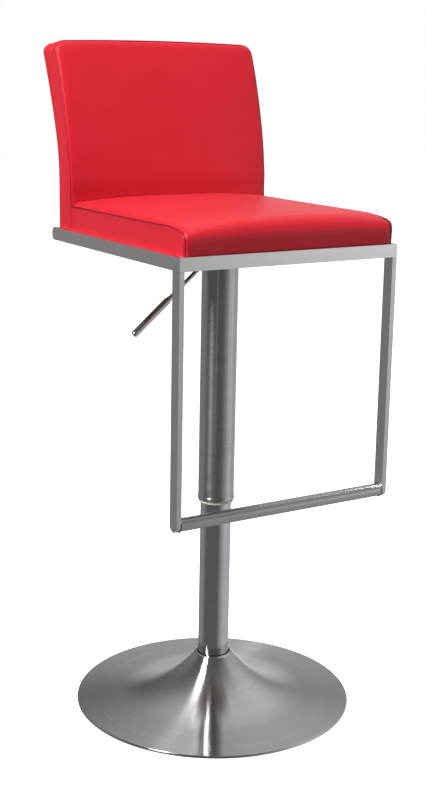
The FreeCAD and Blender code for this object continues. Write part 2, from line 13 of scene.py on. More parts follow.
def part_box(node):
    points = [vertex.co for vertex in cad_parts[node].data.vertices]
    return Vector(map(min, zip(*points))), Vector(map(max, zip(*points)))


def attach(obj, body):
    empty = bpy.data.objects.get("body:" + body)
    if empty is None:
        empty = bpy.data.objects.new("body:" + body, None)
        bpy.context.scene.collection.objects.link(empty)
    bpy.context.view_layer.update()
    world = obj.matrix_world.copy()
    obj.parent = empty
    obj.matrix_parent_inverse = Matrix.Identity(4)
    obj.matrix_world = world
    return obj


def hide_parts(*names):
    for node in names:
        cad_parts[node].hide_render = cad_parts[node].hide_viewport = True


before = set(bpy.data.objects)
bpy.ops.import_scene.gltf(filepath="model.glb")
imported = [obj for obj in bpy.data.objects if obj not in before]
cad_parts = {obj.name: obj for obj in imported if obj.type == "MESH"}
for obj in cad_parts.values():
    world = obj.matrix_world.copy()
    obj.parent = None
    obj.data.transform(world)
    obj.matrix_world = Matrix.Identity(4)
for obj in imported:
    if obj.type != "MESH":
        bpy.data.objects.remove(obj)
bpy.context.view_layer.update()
MM = 0.001

# Studio
AMBIENT = 0.13  # radiance of the studio's walls
GLOWS = (  # soft patches of the studio: azimuth, elevation and reach in degrees, then radiance
    (-15.0, -15.0, 85.0, 0.42),
    (-40.0, 4.0, 26.0, 0.58),
    (122.0, -5.0, 50.0, 0.17),
    (58.0, -6.0, 34.0, 0.55),
    (35.0, 64.0, 50.0, 0.60),
)
LIGHT_TARGET = Vector((0.0, 0.0, 0.55))
STRIP_DISTANCE = 3.0  # from the target to a strip light's two ends
FLOOR_REACH = 12.0
CAMERA_PLACE = Vector((-1.14375, -1.81761, 1.02735))
CAMERA_RIGHT = Vector((0.84998, -0.52652, 0.01784))
CAMERA_UP = Vector((0.10376, 0.20051, 0.97418))
CAMERA_AHEAD = Vector((0.51650, 0.82618, -0.22507))
CAMERA_LENS = 62.27  # for a sensor 36 high
CAMERA_SHIFT = (-0.0007, -0.0181)

# Metal
BRUSHED_RELIEF = 0.02  # how strongly the brush marks tilt the surface
TURNED_RELIEF = 0.012
FRAME_EDGE_R = 0.6 * MM
WELD_SIZE = 1.7 * MM

# Upholstery
SEAT_LOW, SEAT_HIGH = (np.array(corner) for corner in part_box("seat_cushion"))
BACK_LOW, BACK_HIGH = (np.array(corner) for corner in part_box("backrest_cushion"))
BOARD_LOW, BOARD_HIGH = (np.array(corner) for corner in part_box("seat_board"))
SIDE = SEAT_HIGH[0] + 0.8 * MM  # both cushions' half width
SEAT_REAR = SEAT_HIGH[1] - 0.3 * MM
SEAT_FRONT = SEAT_LOW[1] - 2.0 * MM
SEAT_SIDE_Z = SEAT_HIGH[2] - 7.7 * MM  # the seat's side edges, before they are rolled round
SEAT_REAR_Z = SEAT_HIGH[2] + 0.3 * MM  # the top's middle line, at the back and at the nose
SEAT_NOSE_Z = SEAT_HIGH[2] - 2.0 * MM
CROWN_POWER = 3.0
NOSE_R = 24.0 * MM
EDGE_BEND_Y = SEAT_LOW[1] + 52.0 * MM  # the side edges start to drop here
EDGE_DROP_R = 139.0 * MM
EDGE_CORNER_Y = SEAT_FRONT + 9.0 * MM  # the corner of the side panels
EDGE_CORNER_R = 14.0 * MM
SEAT_TAPER = 3.4 * MM  # the seat is this much narrower at each side of its nose
SEAT_SPLIT = 0.9  # the place along the top panel of the corner of the side panels
NOSE_SHADE = 0.2  # how much of the seams' painted shade shows down the front, against 1 along the top
SEAT_ROLL = (11.0 * MM, 7.6 * MM, 60.0)  # reach on top, depth and turn of the rolled side edges
BACK_BEND_Z = 0.845  # the rear is upright up to here, and then leans back
BACK_BEND_R = 0.270
BACK_BEND_ANGLE = math.radians(16.5)
BACK_UPPER_R = 1.000
BACK_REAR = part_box("back_brackets")[1].y + 13.5 * MM
BACK_REAR_TOP = 1.057
BACK_TOP_R = 9.0 * MM  # the rear's rounded top edge, and how far round it the seam lies
BACK_TOP_TURN = math.radians(35.0)
BACK_FRONT_TOP = BACK_HIGH[2] - 2.0 * MM
BACK_FRONT_R = 0.750
BACK_FRONT_BEND_Z = 0.775
BACK_CORNER_R = 17.0 * MM
BACK_TOP_CROWN = 2.7 * MM
BACK_PUFF = 2.2 * MM  # the front stands this much further out above the seat
BACK_FRONT_ROLL = (13.0 * MM, 4.5 * MM, 74.0)  # as SEAT_ROLL
BACK_REAR_ROLL = (4.0 * MM, 4.0 * MM, 45.0)
SIDE_BULGE = 0.6 * MM
CREASE = ((0.0, 1.0, 1.0), (0.3, 0.45, 0.5), (0.7, 0.08, 0.0))  # mm from a seam, tuck, painted shade
TUCK = 0.8 * MM
POCKET_GAP = 0.3 * MM  # round the board in the seat's underside
CLOTH_PRESSURE = 4.0
CLOTH_FRAMES = 20
SWELL_ORDER = 6  # of the smooth shapes that the cloth's swelling is fitted with
MESH_SPACING = 5.0 * MM
TRIAL_SPACING = 8.0 * MM  # of the coarse covers that the cloth simulation blows up
SEAT_SWELL = 1.8 * MM  # the most that a panel of each cover swells
BACK_SWELL = 2.0 * MM
UNEVENNESS = 0.22 * MM
STITCH_LENGTH = 2.7 * MM
STITCH_PITCH = 3.9 * MM
STITCH_R = 0.5 * MM
SEAT_STITCH_INSET = 4.6 * MM
BACK_STITCH_PLACES = (0.15, 0.78)  # across the strip, from the front


# ---------------- camera, light and floor


def add_camera():
    """A camera at backrest height, to the stool's front left, looking slightly down."""
    data = bpy.data.cameras.new("camera")
    data.sensor_fit = "VERTICAL"
    data.sensor_height = 36.0
    data.lens = CAMERA_LENS
    data.shift_x, data.shift_y = CAMERA_SHIFT
    data.clip_end = 50.0
    camera = bpy.data.objects.new("camera", data)
    axes = Matrix((CAMERA_RIGHT, CAMERA_UP, -CAMERA_AHEAD)).transposed().to_4x4()
    camera.matrix_world = Matrix.Translation(CAMERA_PLACE) @ axes
    bpy.context.scene.collection.objects.link(camera)
    bpy.context.scene.camera = camera


def direction(azimuth, elevation):
    """A unit vector from an azimuth and elevation in degrees."""
    turn, lift = math.radians(azimuth), math.radians(elevation)
    return Vector((math.cos(lift) * math.cos(turn), math.cos(lift) * math.sin(turn), math.sin(lift)))


def new_area_light(name, size, power):
    """A rectangular light that the camera doesn't see."""
    data = bpy.data.lights.new(name, "AREA")
    data.shape = "RECTANGLE"
    data.size, data.size_y = size
    data.energy = power
    light = bpy.data.objects.new(name, data)
    light.visible_camera = False
    bpy.context.scene.collection.objects.link(light)
    return light


def add_soft_box(name, azimuth, elevation, distance, size, power, glossy=True):
    """A soft box at an azimuth and elevation in degrees, turned to the stool's middle."""
    away = direction(azimuth, elevation)
    light = new_area_light(name, size, power)
    light.location = LIGHT_TARGET + away * distance
    light.rotation_euler = away.to_track_quat("Z", "Y").to_euler()
    light.visible_glossy = glossy


def add_strip_light(name, start, end, width, power):
    """A thin strip between two (azimuth, elevation) places, which only shows as reflections."""
    first, last = (LIGHT_TARGET + direction(*place) * STRIP_DISTANCE for place in (start, end))
    along = (last - first).normalized()
    middle = (first + last) / 2
    away = middle - LIGHT_TARGET
    away = (away - along * away.dot(along)).normalized()
    light = new_area_light(name, (width, (last - first).length), power)
    light.rotation_euler = Matrix((along.cross(away), along, away)).transposed().to_euler()
    light.location = middle
    light.visible_diffuse = False


def add_lights():
    """A key light from the left, a fill from above, and two strips for the base's thin streaks."""
    add_soft_box("key_light", azimuth=188, elevation=42, distance=3.2, size=(0.45, 1.8), power=116)
    add_soft_box("top_light", -100, 70, distance=3.0, size=(1.8, 1.4), power=34, glossy=False)
    add_strip_light("left_streak", (58, 32), (112, 72), width=0.03, power=1.0)
    add_strip_light("front_streak", (58.7, 28), (58.7, 86), width=0.02, power=1.1)


def add_world():
    """A grey studio with soft glows for light and reflections, and white where the camera looks."""
    world = bpy.data.worlds.new("studio")
    bpy.context.scene.world = world
    world.use_nodes = True
    tree = world.node_tree
    tree.nodes.clear()
    outward = add_node(tree, "ShaderNodeTexCoord").outputs["Generated"]
    radiance = None
    for azimuth, elevation, reach, strength in GLOWS:
        facing = vector_node(tree, "DOT_PRODUCT", outward, direction(azimuth, elevation))
        glow = add_node(tree, "ShaderNodeMapRange")
        glow.interpolation_type = "SMOOTHSTEP"
        glow.inputs["From Min"].default_value = math.cos(math.radians(reach))
        glow.inputs["To Max"].default_value = strength
        tree.links.new(facing.outputs["Value"], glow.inputs["Value"])
        before = AMBIENT if radiance is None else radiance
        radiance = math_node(tree, "ADD", glow.outputs["Result"], before)
    ray = add_node(tree, "ShaderNodeLightPath")
    studio = add_node(tree, "ShaderNodeBackground", Color=(1, 1, 1, 1))
    tree.links.new(radiance, studio.inputs["Strength"])
    white = add_node(tree, "ShaderNodeBackground", Color=(1, 1, 1, 1), Strength=1.0)
    mix = add_node(tree, "ShaderNodeMixShader")
    output = add_node(tree, "ShaderNodeOutputWorld")
    tree.links.new(ray.outputs["Is Camera Ray"], mix.inputs[0])
    tree.links.new(studio.outputs[0], mix.inputs[1])
    tree.links.new(white.outputs[0], mix.inputs[2])
    tree.links.new(mix.outputs[0], output.inputs["Surface"])


def add_floor():
    """A white floor, which only the camera sees: the glows stand for what it reflects."""
    mesh = bpy.data.meshes.new("floor")
    corners = [(x * FLOOR_REACH, y * FLOOR_REACH, 0) for x, y in ((-1, -1), (1, -1), (1, 1), (-1, 1))]
    mesh.from_pydata(corners, [], [(0, 1, 2, 3)])
    floor = bpy.data.objects.new("floor", mesh)
    bpy.context.scene.collection.objects.link(floor)
    mesh.materials.append(floor_material())
    floor.visible_glossy = False
    floor.visible_diffuse = False


# ---------------- materials


def add_node(tree, kind, **sockets):
    """A node with some of its input sockets set by name."""
    made = tree.nodes.new(kind)
    for name, value in sockets.items():
        made.inputs[name.replace("_", " ")].default_value = value
    return made


def new_material(name):
    """A material and its Principled shader."""
    material = bpy.data.materials.new(name)
    material.use_nodes = True
    return material, material.node_tree, material.node_tree.nodes["Principled BSDF"]


def scaled_coordinates(tree, scale, source="Object"):
    """Texture coordinates in the object's own metres, times a scale along each axis."""
    coordinates = add_node(tree, "ShaderNodeTexCoord")
    mapping = add_node(tree, "ShaderNodeMapping", Scale=scale)
    tree.links.new(coordinates.outputs[source], mapping.inputs["Vector"])
    return mapping.outputs["Vector"]


def turned_coordinates(tree, around, along, radius_scale):
    """Coordinates for marks that run round the Z axis, with no join behind."""
    coordinates = add_node(tree, "ShaderNodeTexCoord")
    split = add_node(tree, "ShaderNodeSeparateXYZ")
    flat = add_node(tree, "ShaderNodeCombineXYZ")
    tree.links.new(coordinates.outputs["Object"], split.inputs[0])
    tree.links.new(split.outputs["X"], flat.inputs["X"])
    tree.links.new(split.outputs["Y"], flat.inputs["Y"])
    length = vector_node(tree, "LENGTH", flat.outputs[0])
    outward = vector_node(tree, "NORMALIZE", flat.outputs[0])
    radius = math_node(tree, "MULTIPLY", length.outputs["Value"], radius_scale)
    height = math_node(tree, "MULTIPLY", split.outputs["Z"], along)
    level = math_node(tree, "ADD", radius, height)
    lift = add_node(tree, "ShaderNodeCombineXYZ")
    tree.links.new(level, lift.inputs["Z"])
    circle = vector_node(tree, "SCALE", outward.outputs["Vector"])
    circle.inputs["Scale"].default_value = around
    return vector_node(tree, "ADD", circle.outputs["Vector"], lift.outputs[0]).outputs["Vector"]


def math_node(tree, operation, first, second):
    """A math node on a socket and a socket or number."""
    made = add_node(tree, "ShaderNodeMath")
    made.operation = operation
    tree.links.new(first, made.inputs[0])
    if isinstance(second, (int, float)):
        made.inputs[1].default_value = second
    else:
        tree.links.new(second, made.inputs[1])
    return made.outputs[0]


def vector_node(tree, operation, *inputs):
    """A vector math node on sockets or fixed vectors."""
    made = add_node(tree, "ShaderNodeVectorMath")
    made.operation = operation
    for given, socket in zip(inputs, made.inputs):
        if isinstance(given, bpy.types.NodeSocket):
            tree.links.new(given, socket)
        else:
            socket.default_value = given
    return made


def noise_value(tree, vector, scale, detail=3.0, roughness=0.5):
    made = add_node(tree, "ShaderNodeTexNoise", Scale=scale, Detail=detail, Roughness=roughness)
    tree.links.new(vector, made.inputs["Vector"])
    return made.outputs["Fac"]


def ranged(tree, value, low, high, start=0.3, end=0.7):
    """A value between start and end, mapped to low and high."""
    made = add_node(tree, "ShaderNodeMapRange")
    made.inputs["From Min"].default_value = start
    made.inputs["From Max"].default_value = end
    made.inputs["To Min"].default_value = low
    made.inputs["To Max"].default_value = high
    tree.links.new(value, made.inputs["Value"])
    return made.outputs["Result"]


def blended_colour(tree, factor, first, second):
    """Two colours mixed by a factor. A colour is a triple or a socket."""
    made = add_node(tree, "ShaderNodeMix")
    made.data_type = "RGBA"
    tree.links.new(factor, made.inputs["Factor"])
    for colour, socket in ((first, made.inputs[6]), (second, made.inputs[7])):
        if isinstance(colour, tuple):
            socket.default_value = (*colour, 1)
        else:
            tree.links.new(colour, socket)
    return made.outputs[2]


def add_bump(tree, shader, height, strength, distance):
    made = add_node(tree, "ShaderNodeBump", Strength=strength, Distance=distance)
    tree.links.new(height, made.inputs["Height"])
    tree.links.new(made.outputs["Normal"], shader.inputs["Normal"])


def edge_wear(tree, radius):
    """1 on edges and 0 on open faces."""
    bevel = add_node(tree, "ShaderNodeBevel", Radius=radius)
    geometry = add_node(tree, "ShaderNodeNewGeometry")
    match = vector_node(tree, "DOT_PRODUCT", bevel.outputs[0], geometry.outputs["Normal"])
    return ranged(tree, match.outputs["Value"], 1.0, 0.0, 0.90, 0.995)


def floor_material():
    material, tree, shader = new_material("studio_floor")
    vector = scaled_coordinates(tree, (1, 1, 1))
    patches = ranged(tree, noise_value(tree, vector, 3.0), 0.0, 1.0)
    tone = blended_colour(tree, patches, (0.90, 0.90, 0.90), (0.92, 0.92, 0.92))
    tree.links.new(tone, shader.inputs["Base Color"])
    shader.inputs["Roughness"].default_value = 0.9
    shader.inputs["Specular IOR Level"].default_value = 0.0
    shader.inputs["Emission Color"].default_value = (1, 1, 1, 1)
    shader.inputs["Emission Strength"].default_value = 0.9
    return material


def brushed_material(name, brush, tone, roughness=0.26, anisotropic=0.9):
    """Brushed steel. brush is the axis that the marks run along, or "turned" where they go round Z."""
    material, tree, shader = new_material(name)
    if brush == "turned":
        fine = turned_coordinates(tree, 1.6, 1500.0, 1500.0)
        coarse = turned_coordinates(tree, 0.7, 90.0, 90.0)
        tangent = add_node(tree, "ShaderNodeTangent")
        tangent.direction_type = "RADIAL"
        tangent.axis = "Z"
        tree.links.new(tangent.outputs[0], shader.inputs["Tangent"])
    else:
        axis = "XYZ".index(brush)
        fine = scaled_coordinates(tree, [6.0 if i == axis else 1500.0 for i in range(3)])
        coarse = scaled_coordinates(tree, [2.0 if i == axis else 90.0 for i in range(3)])
        marks_run = add_node(tree, "ShaderNodeVectorTransform")
        marks_run.vector_type = "VECTOR"
        marks_run.convert_from = "OBJECT"
        marks_run.convert_to = "WORLD"
        marks_run.inputs[0].default_value = [1.0 if i == axis else 0.0 for i in range(3)]
        tree.links.new(marks_run.outputs[0], shader.inputs["Tangent"])
    marks = noise_value(tree, fine, 1.0, 2.0)
    bands = noise_value(tree, coarse, 1.0, 3.0, 0.5)
    both = math_node(tree, "ADD", marks, bands)
    dark = tuple(0.94 * c for c in tone)
    light = tuple(1.04 * c for c in tone)
    streaked = blended_colour(tree, ranged(tree, both, 0.0, 1.0, 0.7, 1.3), dark, light)
    rubbed = tuple(min(1.0, 1.3 * c) for c in tone)
    worn = blended_colour(tree, edge_wear(tree, 0.7 * MM), streaked, rubbed)
    tree.links.new(worn, shader.inputs["Base Color"])
    rough = ranged(tree, both, roughness - 0.01, roughness + 0.015, 0.7, 1.3)
    tree.links.new(rough, shader.inputs["Roughness"])
    shader.inputs["Metallic"].default_value = 1.0
    shader.inputs["Anisotropic"].default_value = anisotropic
    shader.inputs["Anisotropic Rotation"].default_value = 0.25
    add_bump(tree, shader, marks, TURNED_RELIEF if brush == "turned" else BRUSHED_RELIEF, 0.03 * MM)
    return material


def chrome_material():
    material, tree, shader = new_material("chrome_plate")
    vector = scaled_coordinates(tree, (1, 1, 1))
    smears = noise_value(tree, vector, 35.0, 4.0)
    tone = blended_colour(tree, ranged(tree, smears, 0.0, 1.0), (0.60, 0.62, 0.66), (0.68, 0.69, 0.72))
    tree.links.new(tone, shader.inputs["Base Color"])
    tree.links.new(ranged(tree, smears, 0.05, 0.10), shader.inputs["Roughness"])
    shader.inputs["Metallic"].default_value = 1.0
    add_bump(tree, shader, noise_value(tree, vector, 400.0), 0.03, 0.02 * MM)
    return material


def plain_material(name, tone, metallic, roughness, grain, relief):
    """A painted, moulded, cast or zinc-plated surface with a grain of so many marks to the metre."""
    material, tree, shader = new_material(name)
    vector = scaled_coordinates(tree, (1, 1, 1))
    cloud = noise_value(tree, vector, 60.0, 4.0)
    dark = tuple(0.8 * c for c in tone)
    light = tuple(min(1.0, 1.2 * c + 0.01) for c in tone)
    mottled = blended_colour(tree, ranged(tree, cloud, 0.0, 1.0), dark, light)
    rubbed = tuple(min(1.0, 1.6 * c + 0.06) for c in tone)
    wear = math_node(tree, "MULTIPLY", edge_wear(tree, 0.5 * MM), cloud)
    worn = blended_colour(tree, wear, mottled, rubbed)
    tree.links.new(worn, shader.inputs["Base Color"])
    tree.links.new(ranged(tree, cloud, roughness - 0.06, roughness + 0.08), shader.inputs["Roughness"])
    shader.inputs["Metallic"].default_value = metallic
    add_bump(tree, shader, noise_value(tree, vector, grain), relief, 0.1 * MM)
    return material


def plywood_material():
    """Birch plywood: long grain on its faces and thin layers on its edges."""
    material, tree, shader = new_material("birch_plywood")
    grain = noise_value(tree, scaled_coordinates(tree, (260.0, 9.0, 260.0)), 1.0, 5.0, 0.6)
    layers = add_node(tree, "ShaderNodeTexWave", Scale=1.0, Distortion=0.4, Detail=1.0)
    layers.bands_direction = "Z"
    tree.links.new(scaled_coordinates(tree, (20.0, 20.0, 900.0)), layers.inputs["Vector"])
    face = blended_colour(tree, ranged(tree, grain, 0.0, 1.0), (0.46, 0.32, 0.19), (0.66, 0.50, 0.33))
    layered = math_node(tree, "MULTIPLY", layers.outputs["Fac"], 0.25)
    tree.links.new(blended_colour(tree, layered, face, (0.33, 0.20, 0.10)), shader.inputs["Base Color"])
    tree.links.new(ranged(tree, grain, 0.5, 0.7), shader.inputs["Roughness"])
    add_bump(tree, shader, grain, 0.2, 0.1 * MM)
    return material


def leather_material():
    """Smooth red leatherette: pebble grain, soft patches, and painted shade: a dark crease where the cover
    dips into a seam.
    """
    material, tree, shader = new_material("red_leatherette")
    vector = scaled_coordinates(tree, (1, 1, 1))
    pebbles = add_node(tree, "ShaderNodeTexVoronoi", Scale=1100.0)
    pebbles.feature = "SMOOTH_F1"
    tree.links.new(vector, pebbles.inputs["Vector"])
    creases = noise_value(tree, vector, 420.0, 4.0, 0.6)
    patches = noise_value(tree, vector, 9.0, 3.0)
    patchy = ranged(tree, patches, 0.0, 1.0)
    skin = blended_colour(tree, patchy, (0.625, 0.009, 0.023), (0.690, 0.012, 0.030))
    pits = math_node(tree, "MULTIPLY", pebbles.outputs["Distance"], 0.35)
    grained = blended_colour(tree, pits, skin, (0.42, 0.006, 0.014))
    # Painted shade: the colour goes towards near black along the seams' creases, by the seam attribute.
    seam = add_node(tree, "ShaderNodeAttribute")
    seam.attribute_name = "seam"
    crease_painted_shade = blended_colour(tree, seam.outputs["Fac"], grained, (0.06, 0.003, 0.006))
    tree.links.new(crease_painted_shade, shader.inputs["Base Color"])
    tree.links.new(ranged(tree, creases, 0.40, 0.50), shader.inputs["Roughness"])
    shader.inputs["Specular IOR Level"].default_value = 0.3
    shader.inputs["Sheen Weight"].default_value = 0.06
    shader.inputs["Sheen Roughness"].default_value = 0.4
    height = math_node(tree, "ADD", pebbles.outputs["Distance"], math_node(tree, "MULTIPLY", creases, 0.7))
    add_bump(tree, shader, height, 0.10, 0.12 * MM)
    return material


def thread_material():
    """Twisted polyester thread."""
    material, tree, shader = new_material("red_thread")
    twist = add_node(tree, "ShaderNodeTexWave", Scale=900.0, Distortion=1.0)
    twist.bands_direction = "DIAGONAL"
    tree.links.new(scaled_coordinates(tree, (1, 1, 1)), twist.inputs["Vector"])
    tone = blended_colour(tree, twist.outputs["Fac"], (0.13, 0.004, 0.008), (0.24, 0.007, 0.014))
    tree.links.new(tone, shader.inputs["Base Color"])
    shader.inputs["Roughness"].default_value = 0.6
    add_bump(tree, shader, twist.outputs["Fac"], 0.3, 0.1 * MM)
    return material


def paint_cad_nodes():
    """Gives each CAD node its material, and rounds the frame's edges a little."""
    front_steel = brushed_material("brushed_front_rail", "X", (0.74, 0.72, 0.71))
    bar_steel = brushed_material("brushed_foot_bar", "X", (0.45, 0.44, 0.45))
    rail_steel = brushed_material("brushed_side_rails", "Y", (0.70, 0.66, 0.65))
    leg_steel = brushed_material("brushed_legs", "Z", (0.66, 0.64, 0.64))
    turned = brushed_material("brushed_base", "turned", (0.60, 0.575, 0.58), 0.20, 1.0)
    sleeve = brushed_material("brushed_sleeve", "turned", (0.54, 0.52, 0.52), 0.28, 0.8)
    mill = plain_material("mill_steel", (0.30, 0.30, 0.31), 1.0, 0.42, 300.0, 0.1)
    ground = plain_material("ground_steel", (0.62, 0.62, 0.63), 1.0, 0.22, 500.0, 0.05)
    zinc = plain_material("zinc_plate", (0.62, 0.63, 0.64), 1.0, 0.30, 350.0, 0.1)
    paint = plain_material("black_paint", (0.030, 0.030, 0.033), 0.0, 0.40, 900.0, 0.25)
    iron = plain_material("cast_iron", (0.12, 0.12, 0.12), 0.6, 0.60, 500.0, 0.4)
    rubber = plain_material("black_rubber", (0.028, 0.028, 0.028), 0.0, 0.75, 1200.0, 0.3)
    black = plain_material("black_plastic", (0.030, 0.030, 0.030), 0.0, 0.45, 1500.0, 0.15)
    ivory = plain_material("ivory_plastic", (0.72, 0.69, 0.58), 0.0, 0.42, 1200.0, 0.1)
    chrome = chrome_material()
    plywood = plywood_material()
    finishes = [
        (turned, "base_cover"),
        (sleeve, "telescopic_sleeve"),
        (front_steel, "front_rail", "rear_rail"),
        (bar_steel, "foot_bar"),
        (rail_steel, "left_side_rail", "right_side_rail"),
        (leg_steel, "left_leg", "right_leg"),
        (chrome, "column_tube", "piston_rod", "lever_rod", "lever_handle"),
        (mill, "base_plate", "column_socket", "end_plate"),
        (ground, "bearing_lower_race", "bearing_balls", "bearing_upper_race", "rod_washer", "rod_clip"),
        (ground, "piston_head", "release_button", "lever_pin"),
        (zinc, "plate_bolts", "tee_nuts", "bracket_screws"),
        (paint, "gas_cylinder", "seat_socket", "seat_plate", "front_cross_bar", "rear_cross_bar"),
        (paint, "back_brackets"),
        (iron, "ballast_disc"),
        (rubber, "floor_pad", "rubber_bumper"),
        (black, "guide_bush", "sleeve_ring"),
        (ivory, "sleeve_bush"),
        (plywood, "seat_board", "back_board"),
    ]
    for material, *names in finishes:
        for name in names:
            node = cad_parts[name]
            node.data.materials.clear()
            node.data.materials.append(material)
    for name in ("front_rail", "rear_rail", "left_side_rail", "right_side_rail", "left_leg", "right_leg"):
        round_edges(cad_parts[name], FRAME_EDGE_R)


def round_edges(node, width):
    weld = node.modifiers.new("weld", "WELD")
    weld.merge_threshold = 0.01 * MM
    bevel = node.modifiers.new("bevel", "BEVEL")
    bevel.width = width
    bevel.segments = 2
    bevel.limit_method = "ANGLE"
    bevel.angle_limit = math.radians(40)
    bevel.harden_normals = True


# ---------------- upholstery


class Panel:
    """One piece of a cover: a surface over (across, along), each from 0 to 1, and its swelling.

    across and along are the rows that its mesh is built on. Each row is a place, how far the cover
    sinks there as it rolls round to a seam, and how much painted shade darkens the seam's crease there,
    from 0 to 1. normals is a plainer surface with the same facing, for one whose corners are rounded.
    fade is how much of the painted shade of its two side seams shows at each row along.
    """

    def __init__(self, surface, across, along, facing, normals=None):
        self.surface = surface
        self.normals = normals or surface
        self.across = np.array(across)
        self.along = np.array(along)
        self.facing = facing
        self.fade = np.ones(len(along))
        self.swell = None

    def flat(self, s, t):
        return np.stack(np.broadcast_arrays(*self.surface(s, t)), axis=-1)

    def normal(self, s, t):
        step = 1e-4
        low_s, high_s = np.clip(s - step, 0, 1), np.clip(s + step, 0, 1)
        low_t, high_t = np.clip(t - step, 0, 1), np.clip(t + step, 0, 1)
        ds = np.stack(np.broadcast_arrays(*self.normals(high_s, t)), axis=-1)
        ds = ds - np.stack(np.broadcast_arrays(*self.normals(low_s, t)), axis=-1)
        dt = np.stack(np.broadcast_arrays(*self.normals(s, high_t)), axis=-1)
        dt = dt - np.stack(np.broadcast_arrays(*self.normals(s, low_t)), axis=-1)
        cross = np.cross(ds, dt) * self.facing
        return cross / np.maximum(np.linalg.norm(cross, axis=-1, keepdims=True), 1e-12)

    def sink(self, s, t):
        """How far the cover lies under its surface, as it rolls round to its seams."""
        sink_s = np.interp(s, self.across[:, 0], self.across[:, 1])
        sink_t = np.interp(t, self.along[:, 0], self.along[:, 1])
        deepest = max(self.across[:, 1].max(), self.along[:, 1].max(), 1e-9)
        return sink_s + sink_t - sink_s * sink_t / deepest

    def point(self, s, t):
        raised = -self.sink(s, t)
        if self.swell is not None:
            raised = raised + swell_height(self.swell, s, t)
        return self.flat(s, t) + self.normal(s, t) * raised[..., None]

    def grid(self):
        return np.meshgrid(self.across[:, 0], self.along[:, 0], indexing="ij")

    def shades(self):
        return np.maximum(self.across[:, 2][:, None] * self.fade[None, :], self.along[:, 2][None, :])


def swell_terms(s, t):
    """Smooth shapes over a panel that are all zero along its edges."""
    x = 2 * np.asarray(s) - 1
    y = 2 * np.asarray(t) - 1
    window = (1 - x**2) * (1 - y**2)
    across = [np.cos(k * np.arccos(np.clip(x, -1, 1))) for k in range(SWELL_ORDER)]
    along = [np.cos(k * np.arccos(np.clip(y, -1, 1))) for k in range(SWELL_ORDER)]
    return np.stack([window * a * b for a in across for b in along], axis=-1)


def swell_height(weights, s, t):
    return swell_terms(*np.broadcast_arrays(s, t)) @ weights


def rolled_rows(roll, size, steps=6):
    """Rows of an edge that rolls round an ellipse into its seam, where it is tucked in.

    roll is how far the ellipse reaches along the panel, its depth, and the turn in degrees to the seam.
    """
    reach, depth, turn = roll[0], roll[1], math.radians(roll[2])
    speed = math.hypot(reach * math.cos(turn), depth * math.sin(turn))
    rows = []
    for away, tuck, shade in CREASE:
        angle = turn - away * MM / speed
        place = reach * (1 - math.sin(angle)) + tuck * TUCK * depth * math.sin(turn) / speed
        sink = depth * (1 - math.cos(angle)) + tuck * TUCK * reach * math.cos(turn) / speed
        rows.append((place / size, sink, shade))
    lip = turn - CREASE[-1][0] * MM / speed
    for step in range(1, steps + 1):
        angle = lip * (1 - step / steps)
        rows.append((reach * (1 - math.sin(angle)) / size, depth * (1 - math.cos(angle)), 0.0))
    return rows


def other_side(roll):
    """The same rolled edge, seen from the panel on the other side of its seam."""
    return roll[1], roll[0], 90.0 - roll[2]


def soft_rows(reach, depth, size, steps=4):
    """Rows of an edge that rounds off with no seam."""
    angles = [0.5 * math.pi * (1 - step / steps) for step in range(steps + 1)]
    return [(reach * (1 - math.sin(a)) / size, depth * (1 - math.cos(a)), 0.0) for a in angles]


def open_rows(start, end, spacing, size):
    """Plain rows between two edges, as fractions of the panel's size."""
    count = max(2, round((end - start) * size / spacing))
    return [(start + (end - start) * k / count, 0.0, 0.0) for k in range(1, count)]


def mirrored(rows):
    return [(1 - place, sink, shade) for place, sink, shade in reversed(rows)]


def between(first, last, spacing, size):
    """Rows across a whole panel, from one edge's rows to the other's."""
    return first + open_rows(first[-1][0], 1 - last[-1][0], spacing, size) + mirrored(last)


def follow(points, place):
    """The (y, z) at a place from 0 to 1 along a line through dense points."""
    y, z = np.array(points).T
    steps = np.hypot(np.diff(y), np.diff(z))
    travelled = np.concatenate([[0], np.cumsum(steps)]) / steps.sum()
    return np.interp(place, travelled, y), np.interp(place, travelled, z)


def eased(value):
    """0 below 0, 1 above 1, and smooth between them."""
    value = np.clip(value, 0, 1)
    return value * value * (3 - 2 * value)


# Seat


def seat_edge_lines():
    """The side edge as two lines of (y, z): forward along the top, then down the front."""
    centre_z = SEAT_SIDE_Z - EDGE_DROP_R
    last = math.asin((EDGE_BEND_Y - EDGE_CORNER_Y) / EDGE_DROP_R)
    top = [(SEAT_REAR, SEAT_SIDE_Z)]
    for a in np.linspace(0, last, 40):
        top.append((EDGE_BEND_Y - EDGE_DROP_R * math.sin(a), centre_z + EDGE_DROP_R * math.cos(a)))
    bend_y = top[-1][0] + EDGE_CORNER_R * math.sin(last)
    bend_z = top[-1][1] - EDGE_CORNER_R * math.cos(last)
    front = []
    for a in np.linspace(math.pi / 2 + last, math.pi, 12):
        front.append((bend_y + EDGE_CORNER_R * math.cos(a), bend_z + EDGE_CORNER_R * math.sin(a)))
    front.append((front[-1][0] + 0.5 * MM, SEAT_LOW[2]))
    return top, front


def seat_middle_lines():
    """The middle line, which is split halfway round the nose."""
    front_y = SEAT_FRONT + 0.5 * MM
    halfway = math.radians(135)
    turns = [np.linspace(math.pi / 2, halfway, 24), np.linspace(halfway, math.pi, 24)]
    top, front = (
        [(front_y + NOSE_R * (1 + math.cos(a)), SEAT_NOSE_Z - NOSE_R * (1 - math.sin(a))) for a in part]
        for part in turns
    )
    return [(SEAT_REAR, SEAT_REAR_Z)] + top, front + [(front_y + 1.5 * MM, SEAT_LOW[2])]


SEAT_LINES = {"edge": seat_edge_lines(), "middle": seat_middle_lines()}


